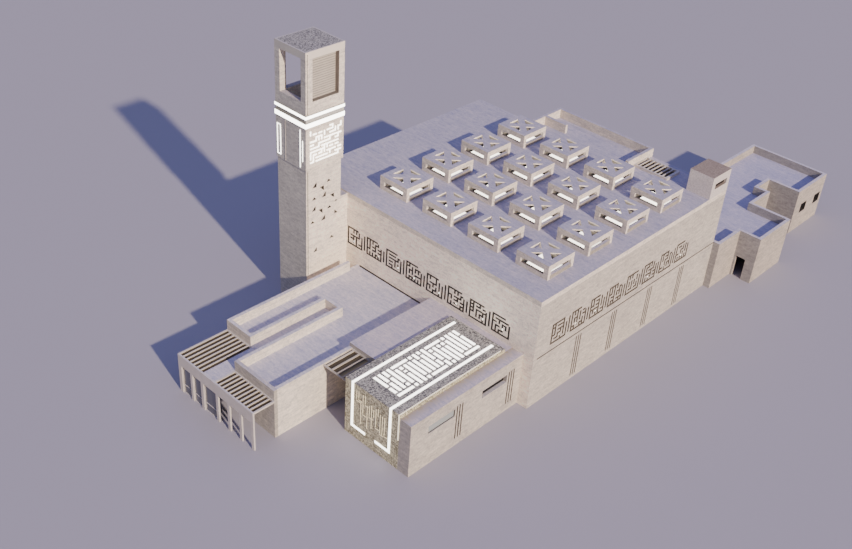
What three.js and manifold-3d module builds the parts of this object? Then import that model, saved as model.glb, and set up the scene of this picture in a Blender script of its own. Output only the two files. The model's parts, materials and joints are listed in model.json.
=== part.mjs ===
import * as THREE from 'three';
import { mergeVertices } from 'three/addons/utils/BufferGeometryUtils.js';
import Module from 'manifold-3d';

const wasm = await Module();
wasm.setup();

// A mosque of pale stone: a square prayer hall with skylight boxes, a minaret, a low entrance wing
// with a portico, a tan stone block between paler walls, and a long annex behind.
// Sizes are metres of the real building, and the model is made at 1:2. In the plan, x = 0 is the
// hall's right face and y = 0 its front face; the portico faces -Y and the annex lies at +Y.
const MM_PER_METRE = 500;
const JOINT_MM = 0.3;

const hall = { left: -30, right: 0, front: 0, back: 29.6, top: 11.8, wall: 0.5, slab: 0.5 };
hall.jogX = -21.5;
hall.leftBack = 25.8;
hall.portal = { x: [-17.5, -14.5], top: 3.2 };

// Engraved bands are shallow recesses; the relief that fills them stands flush with the wall.
const frontBand = { along: [-24.0, -2.85], z: [6.05, 8.15], depth: 0.12 };
const sideBand = { along: [2.1, 24.1], z: [6.1, 8.45], depth: 0.12 };
const groove = { width: 0.1, depth: 0.08, pitch: 0.34, perGroup: 3 };
const sideGrooves = { centres: [6.65, 12.2, 18.1, 23.75], z: [0.35, 5.05] };
const stringGroove = { z: 5.4, height: 0.08 };

const skylight = { size: 3.62, height: 1.47, wall: 0.3, lid: 0.12, rows: 4, columns: 4 };
skylight.first = { x: -22.59, y: 2.86 };
skylight.pitch = { x: 5.74, y: 5.79 };
skylight.slot = { z: [0.42, 0.92], frontMargin: 0.52, sideMargin: 0.4 };
skylight.rim = 0.6;
skylight.arm = 0.7;
skylight.roofLight = 2.0;

const rearParapet = { height: 1.0, wall: 0.35, left: -21.5, right: -9.0, frontY: 26.5, frontEnd: -18.3 };
rearParapet.leftStart = 24.7;
rearParapet.rightStart = 25.0;
const rearPergola = { x: [-9.0, -4.98], y: [26.2, 28.65], height: 0.3, depth: 0.12, slats: 7, slat: 0.09 };
rearPergola.edge = { left: 0.1, right: 0.26, front: 0.15, back: 0.2 };
const stairBox = { width: 2.7, front: 26.3, height: 2.4, wall: 0.3 };
stairBox.slotY = [26.9, 29.1];
stairBox.slotZ = [0.95, 1.55];

const minaret = { x: [-28.15, -24.12], y: [-5.18, -0.92], wall: 0.5, headZ: 15.8 };
minaret.head = { x: [-28.25, -24.05], y: [-5.25, -0.72] };
minaret.bandZ = [20.15, 21.4];
minaret.bandProud = 0.06;
minaret.bandGroove = { z: [20.68, 21.04], depth: 0.06 };
minaret.lanternTop = 26.6;
minaret.top = 27.3;
minaret.opening = { x: [-27.57, -24.7], y: [-4.46, -1.36], z: [22.55, 26.6] };
minaret.link = { x: [-25.3, -24.12], top: 11.65 };
minaret.cornerGroove = { inset: 0.16, width: 0.08, bottom: 4.3, top: 27.1 };
minaret.nicheDepth = 0.3;
// The scattered niches of the right face are right-angled triangles. Each has the middle of its
// longest side, y along the wall and z up it, then its corner's turn from +Y in degrees, and the
// corner's distance from that middle.
minaret.niches = [
  [-2.43, 13.82, 90, 0.27], [-4.18, 14.0, -45, 0.37], [-3.27, 13.33, 45, 0.37],
  [-3.02, 12.63, -45, 0.37], [-1.98, 12.07, 45, 0.34], [-4.2, 12.45, 90, 0.28],
  [-1.5, 11.35, 90, 0.2], [-4.28, 11.5, -45, 0.35], [-2.32, 10.9, 90, 0.27],
  [-3.42, 10.9, 45, 0.36], [-1.45, 10.22, -135, 0.3], [-3.1, 10.1, -45, 0.37],
  [-4.42, 9.95, 90, 0.28], [-2.0, 7.41, 90, 0.28], [-4.1, 6.87, -45, 0.33],
];

const wing = { left: -22.5, front: -15.9, top: 5.2, roofTop: 4.2, slab: 0.35, wall: 0.35 };
wing.parapetEnd = -1.3;
wing.slot = { left: -19.1, right: -17.4, back: -7.2 };
wing.block = { left: -17.4, right: -12.1, front: -18.95 };
wing.entry = { x: [-18.9, -17.6], top: 2.6 };

const portico = { left: -22.5, right: -12.03, front: -21.25, top: 4.15, beam: 1.15, depth: 0.16 };
portico.piers = [
  [-22.5, -22.08], [-20.78, -20.47], [-19.27, -18.91], [-17.14, -16.82], [-15.53, -15.22],
  [-13.93, -13.62], [-12.34, -12.03],
];
portico.glassBays = 3;
portico.slats = { left: 6, right: 10, width: 0.1, depth: 0.18 };
portico.slab = { x: [-18.95, -17.4], depth: 0.3 };
portico.edge = { outer: 0.15, inner: 0.18, ledger: 0.1 };

const pale = { left: -12.45, right: -1.15, front: -13.9, top: 5.58, slab: 0.4, wall: 0.4, backStrip: 1.0 };
pale.leftFront = -10.2;
pale.doorway = { x: [-11.3, -9.8], top: 2.6 };
pale.windows = { y: [[-11.8, -8.6], [-5.2, -1.95]], z: [3.52, 4.34] };
pale.grooves = { centres: [-8.01, -1.35], z: [0.8, 4.53], pitch: 0.32 };
const tan = { left: -8.9, right: -2.42, front: -13.9, top: 5.95, slab: 0.42, wall: 0.4 };
const sidePergola = { front: -13.6, top: 5.15, depth: 0.14, slats: 3, slat: 0.12, ledger: 0.12 };
sidePergola.firstBar = -11.85;
sidePergola.lastBar = 0.2;

const annex = { left: -8.8, front: 29.6, back: 53.3, top: 5.55, roofTop: 4.6, slab: 0.35, wall: 0.35 };
annex.step = { x: 0.75, y: 33.8 };
annex.right = 3.2;
annex.doorway = { x: [1.0, 2.1], top: 2.5 };
annex.court = { front: 40.2, x: -1.4, stepY: 44.0, innerX: -2.9, back: 46.6 };
annex.endRight = 0.9;
annex.windows = { y: [[48.1, 49.5], [51.4, 52.8]], z: [2.2, 3.4] };
annex.leftWindows = [[33.0, 34.4], [38.0, 39.4], [43.0, 44.4], [48.0, 49.4]];
const glassThickness = 0.05;

const finish = {
  stone: new THREE.MeshStandardMaterial({ color: 0xcdc3b4, roughness: 0.85, metalness: 0 }),
  roof: new THREE.MeshStandardMaterial({ color: 0xb7b2bb, roughness: 0.9, metalness: 0 }),
  tanStone: new THREE.MeshStandardMaterial({ color: 0x93866f, roughness: 0.8, metalness: 0 }),
  slat: new THREE.MeshStandardMaterial({ color: 0xc9c1b2, roughness: 0.8, metalness: 0 }),
  band: new THREE.MeshStandardMaterial({ color: 0xe8e6dc, roughness: 0.7, metalness: 0 }),
  glass: new THREE.MeshStandardMaterial({ color: 0x3c4652, roughness: 0.1, metalness: 0 }),
};

// Geometry helpers: every size and place above is turned to model millimetres here.
function toSolid(geometry) {
  geometry.deleteAttribute('normal');
  geometry.deleteAttribute('uv');
  const merged = mergeVertices(geometry, 1e-3);
  const vertProperties = new Float32Array(merged.attributes.position.array);
  const triVerts = new Uint32Array(merged.index.array);
  return new wasm.Manifold(new wasm.Mesh({ numProp: 3, vertProperties, triVerts }));
}

function block(x, y, z) {
  const spans = [x, y, z];
  const size = spans.map(([low, high]) => (high - low) * MM_PER_METRE);
  const middle = spans.map(([low, high]) => ((high + low) / 2) * MM_PER_METRE);
  const geometry = new THREE.BoxGeometry(...size);
  geometry.translate(...middle);
  return toSolid(geometry);
}

function prism(outline, z) {
  const points = outline.map(([x, y]) => new THREE.Vector2(x * MM_PER_METRE, y * MM_PER_METRE));
  const depth = (z[1] - z[0]) * MM_PER_METRE;
  const geometry = new THREE.ExtrudeGeometry(new THREE.Shape(points), { depth, bevelEnabled: false });
  geometry.translate(0, 0, z[0] * MM_PER_METRE);
  return toSolid(geometry);
}

// A prism along X whose outline is drawn in Y and Z.
function crossPrism(outline, x) {
  const points = outline.map(([y, z]) => new THREE.Vector2(y * MM_PER_METRE, z * MM_PER_METRE));
  const depth = (x[1] - x[0]) * MM_PER_METRE;
  const geometry = new THREE.ExtrudeGeometry(new THREE.Shape(points), { depth, bevelEnabled: false });
  const axes = [new THREE.Vector3(0, 1, 0), new THREE.Vector3(0, 0, 1), new THREE.Vector3(1, 0, 0)];
  geometry.applyMatrix4(new THREE.Matrix4().makeBasis(...axes));
  geometry.translate(x[0] * MM_PER_METRE, 0, 0);
  return toSolid(geometry);
}

function join(solids) {
  return solids.reduce((whole, solid) => whole.add(solid));
}

function cut(solid, tools) {
  return tools.reduce((rest, tool) => rest.subtract(tool), solid);
}

function faceNormals(vertices, triangles) {
  const point = (index) => new THREE.Vector3().fromArray(vertices, 3 * index);
  const perVertex = Array.from({ length: vertices.length / 3 }, () => []);
  for (let t = 0; t < triangles.length; t += 3) {
    const corners = [triangles[t], triangles[t + 1], triangles[t + 2]];
    const [a, b, c] = corners.map(point);
    const normal = b.sub(a).cross(c.sub(a)).normalize();
    for (const corner of corners) {
      const known = perVertex[corner].some((other) => other.dot(normal) > 0.9999);
      if (!known) perVertex[corner].push(normal);
    }
  }
  return perVertex;
}

// Draws every face in by half a joint, so that pieces drawn edge to edge keep one joint between
// them. Faces on the ground stay there.
function easeJoints(solid) {
  const mesh = solid.getMesh();
  const vertices = new Float32Array(mesh.vertProperties);
  const triangles = new Uint32Array(mesh.triVerts);
  const normals = faceNormals(vertices, triangles);
  const passes = 60;
  for (let index = 0; index < normals.length; index += 1) {
    const onGround = Math.abs(vertices[3 * index + 2]) < 1e-3;
    const shift = new THREE.Vector3();
    for (let pass = 0; pass < passes; pass += 1) {
      for (const normal of normals[index]) {
        const wanted = onGround && normal.z < -0.9 ? 0 : -JOINT_MM / 2;
        shift.addScaledVector(normal, wanted - shift.dot(normal));
      }
    }
    vertices[3 * index] += shift.x;
    vertices[3 * index + 1] += shift.y;
    vertices[3 * index + 2] += shift.z;
  }
  const geometry = new THREE.BufferGeometry();
  geometry.setAttribute('position', new THREE.BufferAttribute(vertices, 3));
  geometry.setIndex(new THREE.BufferAttribute(triangles, 1));
  return geometry;
}

const building = new THREE.Group();

function addPiece(name, solid, material) {
  const geometry = easeJoints(solid);
  geometry.computeBoundingBox();
  const centre = geometry.boundingBox.getCenter(new THREE.Vector3());
  geometry.translate(-centre.x, -centre.y, -centre.z);
  geometry.computeVertexNormals();
  const mesh = new THREE.Mesh(geometry, material);
  mesh.name = name;
  mesh.position.copy(centre);
  building.add(mesh);
}

// Vertical grooves in groups of three, cut into a wall whose outer face looks along the X axis.
function grooveGroups(face, inward, centres, z, pitch) {
  const x = [face, face + inward * groove.depth].sort((a, b) => a - b);
  const tools = [];
  for (const centre of centres) {
    for (let k = 0; k < groove.perGroup; k += 1) {
      const y = centre + (k - (groove.perGroup - 1) / 2) * pitch;
      tools.push(block(x, [y - groove.width / 2, y + groove.width / 2], z));
    }
  }
  return tools;
}

// The X spans of equal bars with equal gaps between two edges.
function evenBars([low, high], count, width) {
  const gap = (high - low - count * width) / (count + 1);
  const starts = Array.from({ length: count }, (_, k) => low + gap + k * (width + gap));
  return starts.map((start) => [start, start + width]);
}

// A flat grille: bars that run along Y, joined by a ledger behind them and, where it has one, in front.
function grille(x, y, z, bars, ledger) {
  const pieces = bars.map((bar) => block(bar, y, z));
  pieces.push(block(x, [y[1] - ledger.back, y[1]], z));
  if (ledger.front) pieces.push(block(x, [y[0], y[0] + ledger.front], z));
  return join(pieces);
}

// Prayer hall walls
const wallTop = hall.top - hall.slab;

function sideWallCuts(face, inward) {
  const recess = [face, face + inward * sideBand.depth].sort((a, b) => a - b);
  const string = [face, face + inward * groove.depth].sort((a, b) => a - b);
  const stringZ = [stringGroove.z, stringGroove.z + stringGroove.height];
  return [
    block(recess, sideBand.along, sideBand.z),
    block(string, [hall.front, hall.leftBack], stringZ),
    ...grooveGroups(face, inward, sideGrooves.centres, sideGrooves.z, groove.pitch),
  ];
}

function addHallWalls() {
  const z = [0, wallTop];
  const inner = hall.wall;
  const front = block([hall.left, hall.right], [hall.front, inner], z);
  const frontCuts = [
    block(frontBand.along, [hall.front, frontBand.depth], frontBand.z),
    block(hall.portal.x, [hall.front, inner], [0, hall.portal.top]),
  ];
  addPiece('hall_front_wall', cut(front, frontCuts), finish.stone);
  const right = block([hall.right - inner, hall.right], [inner, hall.back], z);
  addPiece('hall_right_wall', cut(right, sideWallCuts(hall.right, -1)), finish.stone);
  const left = block([hall.left, hall.left + inner], [inner, hall.leftBack], z);
  addPiece('hall_left_wall', cut(left, sideWallCuts(hall.left, 1)), finish.stone);
  const backY = [hall.leftBack - inner, hall.leftBack];
  const back = join([
    block([hall.left + inner, hall.jogX + inner], backY, z),
    block([hall.jogX, hall.jogX + inner], [backY[0], hall.back], z),
    block([hall.jogX, hall.right - inner], [hall.back - inner, hall.back], z),
  ]);
  addPiece('hall_back_wall', back, finish.stone);
}

// Skylight boxes: four walls with a long slot each, under a lid that is open between its diagonals,
// stand over square openings in the roof.
function lidHoles(corner, top) {
  const { size, rim, arm, lid } = skylight;
  const middle = [corner[0] + size / 2, corner[1] + size / 2];
  const far = size / 2 - rim;
  const near = arm * Math.SQRT2 / 2;
  const z = [top - 2 * lid, top + lid];
  const holes = [];
  for (const [ux, uy] of [[1, 0], [0, 1], [-1, 0], [0, -1]]) {
    const place = (along, across) => [
      middle[0] + along * ux - across * uy,
      middle[1] + along * uy + across * ux,
    ];
    const reach = far - near;
    holes.push(prism([place(near, 0), place(far, -reach), place(far, reach)], z));
  }
  return holes;
}

function skylightBox(corner) {
  const { size, height, wall, lid, slot } = skylight;
  const [x, y] = [[corner[0], corner[0] + size], [corner[1], corner[1] + size]];
  const base = hall.top;
  const top = base + height;
  const inset = ([low, high], by) => [low + by, high - by];
  const slotZ = slot.z.map((value) => base + value);
  const outer = block(x, y, [base, top]);
  return cut(outer, [
    block(inset(x, wall), inset(y, wall), [base, top - lid]),
    block(inset(x, slot.frontMargin), y, slotZ),
    block(x, inset(y, slot.sideMargin), slotZ),
    ...lidHoles(corner, top),
  ]);
}

function addHallRoof() {
  const { first, pitch, size, rows, columns, roofLight } = skylight;
  const margin = (pitch.y - size) / 2;
  for (let row = 0; row < rows; row += 1) {
    const y = first.y + row * pitch.y;
    const from = row === 0 ? hall.front : y - margin;
    const to = row === rows - 1 ? hall.leftBack : y + size + margin;
    const slab = block([hall.left, hall.right], [from, to], [wallTop, hall.top]);
    const boxes = [];
    const openings = [];
    for (let column = 0; column < columns; column += 1) {
      const x = first.x + column * pitch.x;
      boxes.push(skylightBox([x, y]));
      const edge = (size - roofLight) / 2;
      openings.push(block([x + edge, x + size - edge], [y + edge, y + size - edge], [wallTop, hall.top]));
    }
    const bay = join([cut(slab, openings), ...boxes]);
    addPiece(`hall_roof_bay_${row + 1}`, bay, finish.roof);
  }
}

// Rear terrace: roof strip, parapet, pergola on a kerb around an opening, and the stair box
function addRearTerrace() {
  const z = [wallTop, hall.top];
  const strip = block([hall.jogX, hall.right], [hall.leftBack, hall.back], z);
  const { edge } = rearPergola;
  const clearX = [rearPergola.x[0] + edge.left, rearPergola.x[1] - edge.right];
  const clearY = [rearPergola.y[0] + edge.front, rearPergola.y[1] - edge.back];
  const opening = block(clearX, clearY, [wallTop, hall.top + rearPergola.height]);
  addPiece('rear_roof', cut(strip, [opening]), finish.roof);

  const { left, right, wall, height, frontY, frontEnd, leftStart, rightStart } = rearParapet;
  const parapetZ = [hall.top, hall.top + height];
  const parapet = join([
    block([left, right], [hall.back - wall, hall.back], parapetZ),
    block([left, left + wall], [leftStart, hall.back], parapetZ),
    block([right - wall, right], [rightStart, hall.back], parapetZ),
    block([left, frontEnd], [frontY, frontY + wall], parapetZ),
  ]);
  addPiece('rear_parapet', parapet, finish.stone);

  const pergolaTop = hall.top + rearPergola.height;
  const kerb = block(rearPergola.x, rearPergola.y, [hall.top, pergolaTop]);
  const bars = evenBars(clearX, rearPergola.slats, rearPergola.slat);
  const barZ = [pergolaTop - rearPergola.depth, pergolaTop];
  const slatting = grille(rearPergola.x, rearPergola.y, barZ, bars, edge);
  addPiece('rear_pergola', cut(kerb, [opening]).add(slatting), finish.slat);

  const box = stairBox;
  const boxX = [hall.right - box.width, hall.right];
  const boxTop = hall.top + box.height;
  const shell = block(boxX, [box.front, hall.back], [hall.top, boxTop]);
  const room = block(
    [boxX[0] + box.wall, boxX[1] - box.wall],
    [box.front + box.wall, hall.back - box.wall],
    [hall.top, boxTop - box.wall],
  );
  const slotZ = box.slotZ.map((value) => hall.top + value);
  const slot = block([boxX[1] - box.wall, boxX[1]], box.slotY, slotZ);
  addPiece('stair_box', cut(shell, [room, slot]), finish.stone);
}

// Minaret: a square hollow shaft tied to the hall, a lit band, an open lantern and a flat roof
function minaretNiches() {
  const x = [minaret.x[1] - minaret.nicheDepth, minaret.x[1]];
  return minaret.niches.map(([y, z, turn, reach]) => {
    const angle = THREE.MathUtils.degToRad(turn);
    const [along, up] = [reach * Math.cos(angle), reach * Math.sin(angle)];
    return crossPrism([[y + along, z + up], [y - up, z + along], [y + up, z - along]], x);
  });
}

// The fine upright groove beside the front corner of the minaret's right face.
function cornerLine(face, front, z) {
  const start = front + minaret.cornerGroove.inset;
  return block([face - groove.depth, face], [start, start + minaret.cornerGroove.width], z);
}

function addMinaret() {
  const { x, y, wall, head, headZ, bandZ, bandProud, bandGroove, opening, link } = minaret;
  const bore = [[x[0] + wall, x[1] - wall], [y[0] + wall, y[1] - wall]];
  const grow = ([low, high], by) => [low - by, high + by];
  const { bottom, top } = minaret.cornerGroove;
  const shaft = join([
    block(x, y, [0, headZ]),
    block(head.x, head.y, [headZ, bandZ[0]]),
    block(link.x, [y[1], hall.front], [0, link.top]),
  ]);
  const shaftCuts = [
    block(...bore, [0, bandZ[0]]),
    cornerLine(x[1], y[0], [bottom, headZ]),
    ...minaretNiches(),
  ];
  addPiece('minaret_shaft', cut(shaft, shaftCuts), finish.stone);

  const rim = [grow(head.x, bandProud), grow(head.y, bandProud)];
  const middle = [grow(rim[0], -bandGroove.depth), grow(rim[1], -bandGroove.depth)];
  const band = join([
    block(...rim, [bandZ[0], bandGroove.z[0]]),
    block(...middle, bandGroove.z),
    block(...rim, [bandGroove.z[1], bandZ[1]]),
  ]);
  addPiece('minaret_band', cut(band, [block(...bore, bandZ)]), finish.band);

  const lantern = block(head.x, head.y, [bandZ[1], minaret.lanternTop]);
  const lanternCuts = [
    block(...bore, [bandZ[1], minaret.lanternTop]),
    block(opening.x, head.y, opening.z),
    block(head.x, opening.y, opening.z),
    cornerLine(head.x[1], head.y[0], [bandZ[1], minaret.lanternTop]),
  ];
  addPiece('minaret_lantern', cut(lantern, lanternCuts), finish.stone);
  const louvreX = [x[1] - wall, x[1] - wall + 0.12];
  addPiece('minaret_louvre', block(louvreX, opening.y, opening.z), finish.slat);
  const roof = block(head.x, head.y, [minaret.lanternTop, minaret.top]);
  const roofLine = cornerLine(head.x[1], head.y[0], [minaret.lanternTop, top]);
  addPiece('minaret_roof', cut(roof, [roofLine]), finish.roof);
}

// Entrance wing: walls that rise as parapets, one roof, and the channel sunk between its two trays
function addWing() {
  const { left, front, top, roofTop, slab, wall, slot, block: tray, entry, parapetEnd } = wing;
  const under = roofTop - slab;
  const full = [0, top];
  const leftWall = block([left, left + wall], [front, hall.front], full);
  const lowEnd = block([left, left + wall], [parapetEnd, hall.front], [roofTop, top]);
  addPiece('wing_left_wall', cut(leftWall, [lowEnd]), finish.stone);

  const frontY = [front, front + wall];
  const trayFront = [tray.front, tray.front + wall];
  const trayLeft = [tray.left, tray.left + wall];
  const frontWall = join([
    block([left + wall, slot.left], frontY, full),
    block([slot.left, trayLeft[1]], frontY, [0, under]),
    block(trayLeft, [trayFront[1], frontY[1]], full),
  ]);
  const doorway = block(entry.x, frontY, [0, entry.top]);
  addPiece('wing_front_wall', cut(frontWall, [doorway]), finish.stone);

  addPiece('porch_wall', block([tray.left, tray.right], trayFront, full), finish.stone);
  const trayRight = [tray.right - wall, tray.right];
  const rightY = [trayFront[1], pale.leftFront];
  addPiece('wing_right_wall', block(trayRight, rightY, full), finish.stone);

  const roof = prism([
    [left + wall, frontY[1]], [slot.left, frontY[1]], [slot.left, front], [slot.right, front],
    [slot.right, frontY[1]], [trayLeft[1], frontY[1]], [trayLeft[1], trayFront[1]],
    [trayRight[0], trayFront[1]], [trayRight[0], pale.leftFront], [tray.right, pale.leftFront],
    [tray.right, hall.front], [left + wall, hall.front],
  ], [under, roofTop]);
  addPiece('wing_roof', roof, finish.roof);

  const rise = [roofTop, top];
  const channel = join([
    block([slot.left - wall, slot.left], [frontY[1], slot.back + wall], rise),
    block([slot.left - wall, slot.right + wall], [slot.back, slot.back + wall], rise),
    block([slot.right, slot.right + wall], [frontY[1], slot.back + wall], rise),
  ]);
  addPiece('channel_parapet', channel, finish.stone);
}

// Portico: a beam on seven piers, a slab over the way in, and a pergola on each side of it
function addPortico() {
  const { left, right, front, top, beam, depth, piers, slats, slab, edge } = portico;
  const back = front + depth;
  const frame = piers.map((pier) => block(pier, [front, back], [0, top - beam]));
  frame.push(block([left, right], [front, back], [top - beam, top]));
  addPiece('portico_frame', join(frame), finish.stone);

  const z = [top - slats.depth, top];
  const ledger = { back: edge.ledger };
  const leftBars = evenBars([left + edge.outer, slab.x[0]], slats.left, slats.width);
  leftBars.push([left, left + edge.outer]);
  const leftPergola = grille([left, slab.x[0]], [back, wing.front], z, leftBars, ledger);
  addPiece('portico_left_pergola', leftPergola, finish.slat);
  const slabSolid = block(slab.x, [back, wing.front], [top - slab.depth, top]);
  addPiece('portico_slab', slabSolid, finish.roof);
  const clear = [slab.x[1] + edge.inner, right - edge.outer];
  const rightBars = evenBars(clear, slats.right, slats.width);
  rightBars.push([slab.x[1], clear[0]], [clear[1], right]);
  const rightY = [back, wing.block.front];
  const rightPergola = grille([slab.x[1], right], rightY, z, rightBars, ledger);
  addPiece('portico_right_pergola', rightPergola, finish.slat);

  const glassX = [piers[0][1], piers[portico.glassBays][1]];
  const glassY = [back, back + glassThickness];
  addPiece('portico_glass', block(glassX, glassY, [0, top - beam]), finish.glass);
}

// Pale walls and roof on three sides of the tan block, with the side entrance between them
function addPaleWalls() {
  const { left, right, front, top, slab, wall, backStrip, leftFront, doorway, windows, grooves } = pale;
  const under = top - slab;
  const entranceWall = block([wing.block.right, tan.left], [leftFront, leftFront + wall], [0, under]);
  const entrance = block(doorway.x, [leftFront, leftFront + wall], [0, doorway.top]);
  addPiece('side_entrance_wall', cut(entranceWall, [entrance]), finish.stone);
  const upstandX = [left, wing.block.right];
  const upstand = block(upstandX, [leftFront, hall.front], [wing.roofTop, under]);
  const deck = prism([
    [left, leftFront], [tan.left, leftFront], [tan.left, -backStrip], [tan.right, -backStrip],
    [tan.right, front], [right, front], [right, hall.front], [left, hall.front],
  ], [under, top]);
  addPiece('pale_roof', join([deck, upstand]), finish.roof);

  const wallX = [right - wall, right];
  const paleWall = join([
    block([tan.right, right], [front, front + wall], [0, under]),
    block(wallX, [front, hall.front], [0, under]),
  ]);
  const cuts = windows.y.map((span) => block(wallX, span, windows.z));
  cuts.push(...grooveGroups(right, -1, grooves.centres, grooves.z, grooves.pitch));
  addPiece('pale_wall', cut(paleWall, cuts), finish.stone);
  const glassX = [wallX[0] - glassThickness, wallX[0]];
  const margin = 0.2;
  const glassY = [windows.y[0][0] - margin, windows.y[1][1] + margin];
  const glassZ = [windows.z[0] - margin, windows.z[1] + margin];
  addPiece('pale_wall_glass', block(glassX, glassY, glassZ), finish.glass);
}

function addTanBlock() {
  const { left, right, front, top, slab, wall } = tan;
  const under = top - slab;
  const tanWall = join([
    block([left, right], [front, front + wall], [0, under]),
    block([left, left + wall], [front, pale.leftFront + pale.wall], [0, under]),
  ]);
  addPiece('tan_wall', tanWall, finish.tanStone);
  const roof = block([left, right], [front, -pale.backStrip], [under, top]);
  addPiece('tan_roof', roof, finish.tanStone);
}

function addSidePergola() {
  const { front, top, depth, slats, slat, ledger, firstBar, lastBar } = sidePergola;
  const clear = [firstBar + slat, tan.left - lastBar];
  const bars = [[firstBar, clear[0]], ...evenBars(clear, slats, slat), [clear[1], tan.left]];
  const x = [wing.block.right, tan.left];
  const ledgers = { front: ledger, back: ledger };
  const pergola = grille(x, [front, pale.leftFront], [top - depth, top], bars, ledgers);
  addPiece('side_entrance_pergola', pergola, finish.slat);
}

// Annex: parapet walls around one roof, with a small court open to the right side
function addAnnex() {
  const { left, front, back, top, roofTop, slab, wall, step, right, court, endRight } = annex;
  const full = [0, top];
  addPiece('annex_front_wall', block([left, step.x], [front, front + wall], full), finish.stone);
  const stepX = [step.x - wall, step.x];
  const doorY = [step.y, step.y + wall];
  const doorWall = join([
    block(stepX, [front + wall, doorY[1]], full),
    block([stepX[0], right], doorY, full),
  ]);
  const doorway = block(annex.doorway.x, doorY, [0, annex.doorway.top]);
  addPiece('annex_door_wall', cut(doorWall, [doorway]), finish.stone);
  addPiece('annex_right_wall', block([right - wall, right], [doorY[1], court.front], full), finish.stone);

  const courtWall = join([
    block([court.x - wall, right - wall], [court.front - wall, court.front], full),
    block([court.x - wall, court.x], [court.front - wall, court.stepY], full),
    block([court.innerX - wall, court.x], [court.stepY - wall, court.stepY], full),
    block([court.innerX - wall, court.innerX], [court.stepY - wall, court.back + wall], full),
    block([court.innerX - wall, endRight], [court.back, court.back + wall], full),
  ]);
  addPiece('annex_court_wall', courtWall, finish.stone);
  const endX = [endRight - wall, endRight];
  const endWall = block(endX, [court.back + wall, back], full);
  const windowCuts = annex.windows.y.map((span) => block(endX, span, annex.windows.z));
  addPiece('annex_end_right_wall', cut(endWall, windowCuts), finish.stone);
  addPiece('annex_back_wall', block([left, endX[0]], [back - wall, back], full), finish.stone);
  const leftX = [left, left + wall];
  const leftWall = block(leftX, [front + wall, back - wall], full);
  const leftCuts = annex.leftWindows.map((span) => block(leftX, span, annex.windows.z));
  addPiece('annex_left_wall', cut(leftWall, leftCuts), finish.stone);

  const roof = prism([
    [leftX[1], front + wall], [stepX[0], front + wall], [stepX[0], doorY[1]],
    [right - wall, doorY[1]], [right - wall, court.front - wall],
    [court.x - wall, court.front - wall], [court.x - wall, court.stepY - wall],
    [court.innerX - wall, court.stepY - wall], [court.innerX - wall, court.back + wall],
    [endX[0], court.back + wall], [endX[0], back - wall], [leftX[1], back - wall],
  ], [roofTop - slab, roofTop]);
  addPiece('annex_roof', roof, finish.roof);

  const margin = 0.15;
  const glassZ = [annex.windows.z[0] - margin, annex.windows.z[1] + margin];
  const endY = [annex.windows.y[0][0] - margin, annex.windows.y[1][1] + margin];
  addPiece('annex_end_glass', block([endX[0] - glassThickness, endX[0]], endY, glassZ), finish.glass);
  const leftY = [annex.leftWindows[0][0] - margin, annex.leftWindows[3][1] + margin];
  addPiece('annex_left_glass', block([leftX[1], leftX[1] + glassThickness], leftY, glassZ), finish.glass);
}

addHallWalls();
addHallRoof();
addRearTerrace();
addMinaret();
addWing();
addPortico();
addPaleWalls();
addTanBlock();
addSidePergola();
addAnnex();

// The frame's origin is under the middle of the building's box, on the ground.
const middleX = (hall.left + annex.right) / 2;
const middleY = (portico.front + annex.back) / 2;
building.position.set(-middleX * MM_PER_METRE, -middleY * MM_PER_METRE, 0);

export default building;
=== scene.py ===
"""A mosque of pale stone at half size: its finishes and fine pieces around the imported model."""

import json
import math
import random

import bpy
from mathutils import Matrix, Vector

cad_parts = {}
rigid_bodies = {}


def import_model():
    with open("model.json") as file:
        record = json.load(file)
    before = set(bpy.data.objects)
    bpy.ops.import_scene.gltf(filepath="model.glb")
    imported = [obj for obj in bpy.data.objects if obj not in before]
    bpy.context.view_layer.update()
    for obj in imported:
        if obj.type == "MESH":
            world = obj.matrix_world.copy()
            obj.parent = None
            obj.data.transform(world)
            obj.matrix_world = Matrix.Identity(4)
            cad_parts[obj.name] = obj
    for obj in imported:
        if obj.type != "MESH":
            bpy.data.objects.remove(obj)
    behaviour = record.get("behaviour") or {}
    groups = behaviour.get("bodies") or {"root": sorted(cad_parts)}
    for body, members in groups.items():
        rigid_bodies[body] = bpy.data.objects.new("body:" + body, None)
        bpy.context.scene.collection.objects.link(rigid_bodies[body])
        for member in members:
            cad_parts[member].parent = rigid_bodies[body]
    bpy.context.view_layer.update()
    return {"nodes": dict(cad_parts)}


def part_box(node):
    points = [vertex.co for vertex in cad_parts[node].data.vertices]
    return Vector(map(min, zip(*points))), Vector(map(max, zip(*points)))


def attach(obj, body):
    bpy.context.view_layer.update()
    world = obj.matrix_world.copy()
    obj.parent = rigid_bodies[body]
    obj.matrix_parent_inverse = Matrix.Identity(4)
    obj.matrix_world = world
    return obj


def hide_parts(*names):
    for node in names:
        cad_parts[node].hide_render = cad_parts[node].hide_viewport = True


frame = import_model()
nodes = frame["nodes"]

# Places are given in metres of the real building, from the hall's front right corner on the ground.
# X runs right, Y back and Z up. The model is half that size.
SCALE = 0.5
CORNER = Vector((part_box("hall_right_wall")[1].x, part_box("hall_front_wall")[0].y, 0.0))

BODY = "root"


def at(x, y, z):
    """The model's point for a place on the real building."""
    return CORNER + Vector((x, y, z)) * SCALE


def real_box(node):
    """A CAD node's lowest and highest corners, in metres of the real building."""
    low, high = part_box(node)
    return (low - CORNER) / SCALE, (high - CORNER) / SCALE


# Camera, with its heading, tilt and roll in degrees
CAMERA_PLACE = (40.98, -60.43, 63.07)
CAMERA_TURN = (41.895, 55.746, 4.123)
LENS_MM = 44.79
SENSOR_MM = 36.0


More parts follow.
